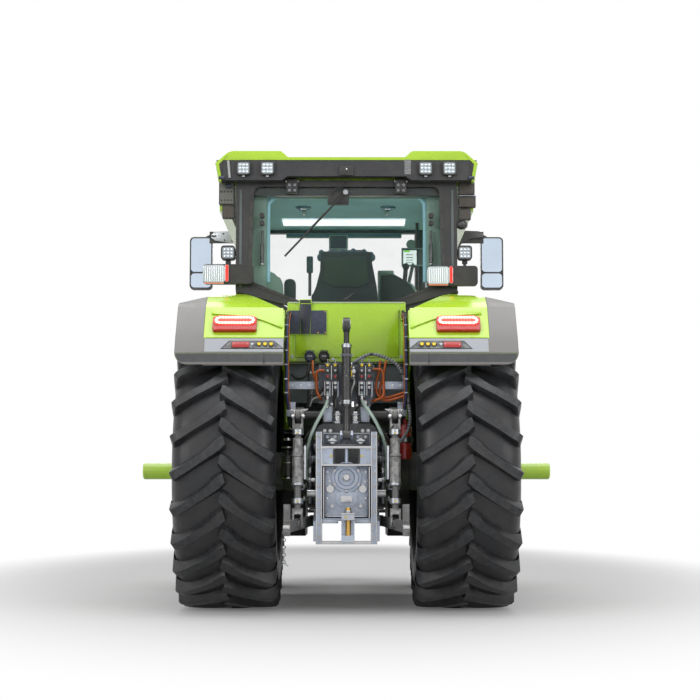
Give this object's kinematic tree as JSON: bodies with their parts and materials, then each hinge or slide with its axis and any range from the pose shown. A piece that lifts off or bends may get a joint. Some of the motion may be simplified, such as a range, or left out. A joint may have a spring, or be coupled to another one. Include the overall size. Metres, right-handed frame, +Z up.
{
  "type": "farm tractor",
  "caption": "Large row-crop farm tractor with glass cab, long bar rear axle, tilting hood, steered front axle and rear three-point hitch with drawbar and power take-off.",
  "frame": {"origin": "on the ground under the middle of the tractor's length and width", "axes": "+X to the tractor's right, +Y forwards, +Z up"},
  "size_m": [2.994, 5.6, 3.368],
  "materials": {
    "lime_paint": "gloss lacquer",
    "wheel_paint": "gloss lacquer",
    "casting_grey": "satin paint on castings",
    "engine_grey": "satin paint",
    "hitch_steel": "grey-blue paint with scuffs",
    "link_steel": "satin grey paint",
    "shaft_steel": "bright machined steel",
    "cab_black": "satin black paint",
    "roof_dark": "dark moulded plastic",
    "fender_grey": "grey moulded plastic",
    "black_plastic": "black moulded plastic",
    "trim_grey": "grey cab trim",
    "liner": "pale cab ceiling",
    "seat_cloth": "woven seat cloth",
    "tinted_glass": "lightly tinted safety glass",
    "lamp_lens": "clear lamp",
    "tail_red": "red lens",
    "plate_blank": "blank dark plate",
    "valve_steel": "zinc plated blocks",
    "red_vessel": "red enamel",
    "tyre_rubber": "black rubber",
    "hose_rubber": "hydraulic hose"
  },
  "bodies": {
    "chassis": {"accumulator": "cab_black", "cab_floor": "trim_grey", "cab_frame": "cab_black", "cab_glass": "tinted_glass", "conduit": "hose_rubber", "consoles": "trim_grey", "drawbar": "hitch_steel", "engine": "engine_grey", "exhaust": "cab_black", "fender_extensions": "fender_grey", "fenders": "lime_paint", "fire_extinguisher": "red_vessel", "front_axle": "casting_grey", "front_frame": "casting_grey", "front_weights": "casting_grey", "fuel_tanks": "black_plastic", "headliner": "liner", "hitch_frame": "hitch_steel", "hydraulic_hoses": "hose_rubber", "indicators": "lamp_lens", "mirrors": "black_plastic", "plate_holder": "plate_blank", "radiator": "black_plastic", "rear_panel": "lime_paint", "rear_window_frame": "cab_black", "roof": "lime_paint", "roof_panel": "roof_dark", "seat": "seat_cloth", "steering_wheel": "black_plastic", "steps": "cab_black", "tail_lamps": "tail_red", "transmission": "casting_grey", "valve_block": "valve_steel", "work_lamps": "black_plastic"},
    "rear_wheel_right": {"rear_tyre_right": "tyre_rubber", "rear_rim_right": "wheel_paint", "bar_axle_right": "wheel_paint"},
    "rear_wheel_left": {"rear_tyre_left": "tyre_rubber", "rear_rim_left": "wheel_paint", "bar_axle_left": "wheel_paint"},
    "knuckle_right": {"knuckle_right": "casting_grey"},
    "knuckle_left": {"knuckle_left": "casting_grey"},
    "tie_rod": {"tie_rod": "link_steel"},
    "front_wheel_right": {"front_tyre_right": "tyre_rubber", "front_rim_right": "wheel_paint"},
    "front_wheel_left": {"front_tyre_left": "tyre_rubber", "front_rim_left": "wheel_paint"},
    "door_right": {"door_right": "cab_black", "door_glass_right": "tinted_glass"},
    "door_left": {"door_left": "cab_black", "door_glass_left": "tinted_glass"},
    "hood": {"hood": "lime_paint", "grille": "black_plastic"},
    "lift_arms": {"lift_arms": "link_steel"},
    "lift_rods": {"lift_rods": "link_steel"},
    "lower_links": {"lower_links": "link_steel"},
    "top_link": {"top_link": "cab_black"},
    "pto_shaft": {"pto_shaft": "shaft_steel"}
  },
  "joints": [
    {"name": "rear_wheel_right_spin", "type": "hinge", "parent": "chassis", "child": "rear_wheel_right", "pos_m": [0.848, -1.55, 1], "axis": [-1, 0, 0], "continuous": true},
    {"name": "rear_wheel_left_spin", "type": "hinge", "parent": "chassis", "child": "rear_wheel_left", "pos_m": [-0.848, -1.55, 1], "axis": [-1, 0, 0], "continuous": true},
    {"name": "steer_left", "type": "hinge", "parent": "chassis", "child": "knuckle_left", "pos_m": [-0.62, 1.45, 0.8], "axis": [0, 0, 1], "range_deg": [-30, 30]},
    {"name": "steer_right", "type": "hinge", "parent": "chassis", "child": "knuckle_right", "pos_m": [0.62, 1.45, 0.8], "axis": [0, 0, 1], "range_deg": [-30, 30]},
    {"name": "tie_rod_pivot", "type": "hinge", "parent": "knuckle_left", "child": "tie_rod", "pos_m": [-0.62, 1.23, 0.69], "axis": [0, 0, 1], "range_deg": [-30, 30]},
    {"name": "front_wheel_right_spin", "type": "hinge", "parent": "knuckle_right", "child": "front_wheel_right", "pos_m": [0.9, 1.45, 0.8], "axis": [-1, 0, 0], "continuous": true},
    {"name": "front_wheel_left_spin", "type": "hinge", "parent": "knuckle_left", "child": "front_wheel_left", "pos_m": [-0.9, 1.45, 0.8], "axis": [-1, 0, 0], "continuous": true},
    {"name": "door_right_hinge", "type": "hinge", "parent": "chassis", "child": "door_right", "pos_m": [0.84, -0.515, 2.1], "axis": [0, 0, -1], "range_deg": [0, 75]},
    {"name": "door_left_hinge", "type": "hinge", "parent": "chassis", "child": "door_left", "pos_m": [-0.84, -0.515, 2.1], "axis": [0, 0, 1], "range_deg": [0, 75]},
    {"name": "hood_tilt", "type": "hinge", "parent": "chassis", "child": "hood", "pos_m": [0, 0.315, 2.08], "axis": [1, 0, 0], "range_deg": [0, 45]},
    {"name": "hitch_lift", "type": "hinge", "parent": "chassis", "child": "lift_arms", "pos_m": [0, -1.75, 1.4], "axis": [-1, 0, 0], "range_deg": [-22, 27]},
    {"name": "lower_link_pivot", "type": "hinge", "parent": "chassis", "child": "lower_links", "pos_m": [0, -1.8, 0.64], "axis": [-1, 0, 0], "range_deg": [-22, 27]},
    {"name": "lift_rod_pivot", "type": "hinge", "parent": "lift_arms", "child": "lift_rods", "pos_m": [0, -2.3, 1.382], "axis": [-1, 0, 0], "range_deg": [-27, 22]},
    {"name": "top_link_pivot", "type": "hinge", "parent": "chassis", "child": "top_link", "pos_m": [0, -2.11, 1.245], "axis": [1, 0, 0], "range_deg": [0, 95]},
    {"name": "pto_spin", "type": "hinge", "parent": "chassis", "child": "pto_shaft", "pos_m": [0, -2.05, 0.945], "axis": [0, 1, 0], "continuous": true}
  ],
  "couplings": [
    {"joint": "steer_right", "follows": "steer_left", "ratio": 1},
    {"joint": "tie_rod_pivot", "follows": "steer_left", "ratio": -1},
    {"joint": "lower_link_pivot", "follows": "hitch_lift", "ratio": 1},
    {"joint": "lift_rod_pivot", "follows": "hitch_lift", "ratio": -1}
  ]
}
